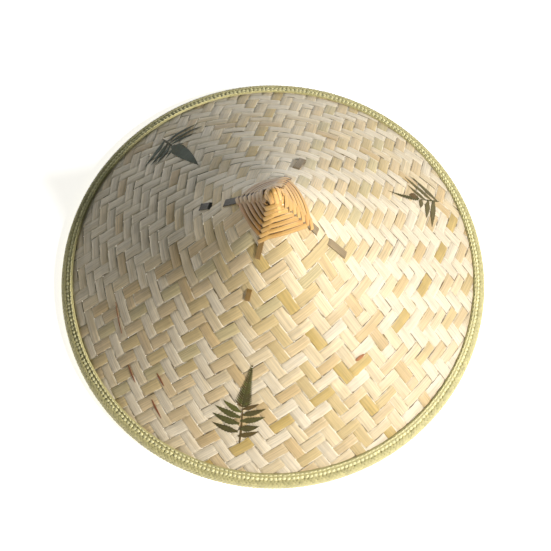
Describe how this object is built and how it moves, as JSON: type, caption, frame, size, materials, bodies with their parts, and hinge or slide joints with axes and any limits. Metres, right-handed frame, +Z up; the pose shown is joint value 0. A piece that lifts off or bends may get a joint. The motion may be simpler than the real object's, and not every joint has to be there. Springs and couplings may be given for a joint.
{
  "type": "conical hat",
  "caption": "Conical sun hat of flat woven splints with a braided edge, a wound cane cap over crossed ribs, fern fronds and an inner head ring.",
  "frame": {"origin": "centre of the circle that the brim stands on, at the level of the surface under it", "axes": "+Z up through the point of the cone, -Y towards the front, the side of the lowest fern frond, +X to the wearer's left"},
  "size_m": [0.4, 0.4, 0.2169],
  "materials": {
    "splint": "flat plant splints, pale straw to tan, satin along the fibre",
    "weaver": "narrow plant splints, satin",
    "braid": "plaited straw tape, olive yellow, dull",
    "thread": "pale yellow sewing thread",
    "cane": "orange tan rattan cane, satin",
    "rib": "brown split bamboo, dull",
    "bamboo": "split bamboo, satin",
    "fern": "pressed dried leaf, dark olive green, matte"
  },
  "bodies": {
    "root": {"splint_set_a": "splint", "splint_set_b": "splint", "splint_set_c": "splint", "rib_lower": "rib", "rib_upper": "rib", "crown_cap": "cane", "rim_hoop_outer": "bamboo", "rim_hoop_inner": "bamboo", "edge_binding": "braid", "edge_stitching_outer": "thread", "edge_stitching_inner": "thread", "fern_front": "fern", "fern_right": "fern", "fern_left": "fern", "ring_hoop_top_outer": "bamboo", "ring_hoop_top_inner": "bamboo", "ring_hoop_bottom_outer": "bamboo", "ring_hoop_bottom_inner": "bamboo", "ring_weaver_1": "weaver", "ring_weaver_2": "weaver", "ring_weaver_3": "weaver", "ring_upright_01": "bamboo", "ring_upright_02": "bamboo", "ring_upright_03": "bamboo", "ring_upright_05": "bamboo", "ring_upright_06": "bamboo", "ring_upright_07": "bamboo", "ring_upright_09": "bamboo", "ring_upright_10": "bamboo", "ring_upright_11": "bamboo", "ring_upright_13": "bamboo", "ring_upright_14": "bamboo", "ring_upright_15": "bamboo"}
  },
  "joints": []
}
